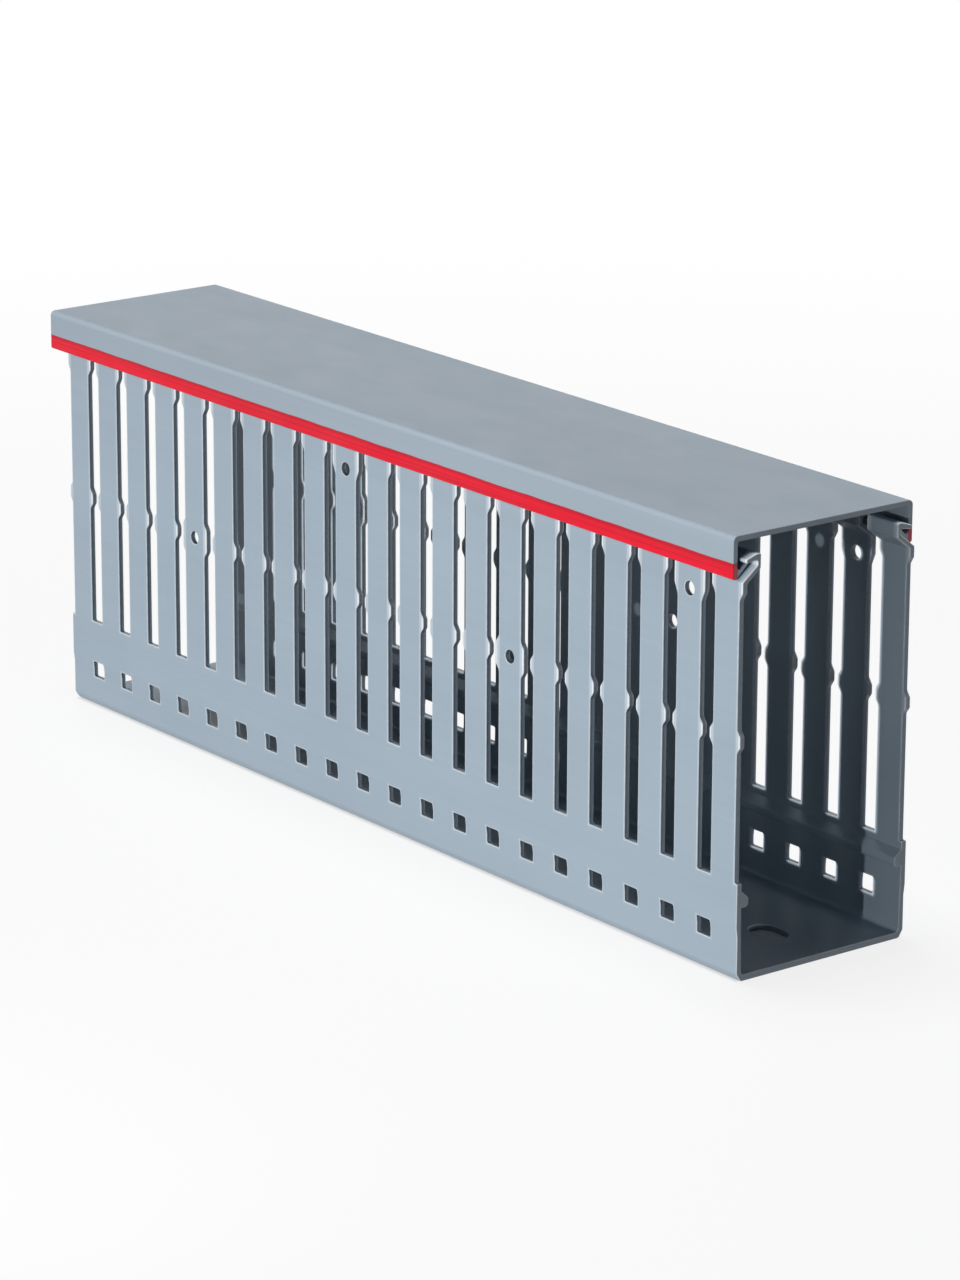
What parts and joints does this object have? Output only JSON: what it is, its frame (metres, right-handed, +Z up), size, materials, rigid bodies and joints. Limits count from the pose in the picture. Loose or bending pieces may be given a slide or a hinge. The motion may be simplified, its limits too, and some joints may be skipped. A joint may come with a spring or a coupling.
{
  "type": "slotted wire duct",
  "caption": "Slotted wiring duct: a U-shaped plastic trough with fingered walls and a clip-on cover with a coloured lower edge, for leading wires in a control cabinet.",
  "frame": {"origin": "centre of the duct's underside, on the surface that it stands on or is screwed to", "axes": "+X along the duct, towards the end where the cover stops short; +Y across it; +Z up, from the floor to the cover"},
  "size_m": [0.266, 0.051, 0.1],
  "materials": {
    "duct_plastic": "satin",
    "cover_plastic": "satin"
  },
  "bodies": {
    "base": {"duct_base": "duct_plastic"},
    "cover": {"duct_cover": "cover_plastic"}
  },
  "joints": [
    {"name": "cover_slide", "type": "slide", "parent": "base", "child": "cover", "axis": [1, 0, 0], "range_m": [-0.26, 0.268]}
  ]
}
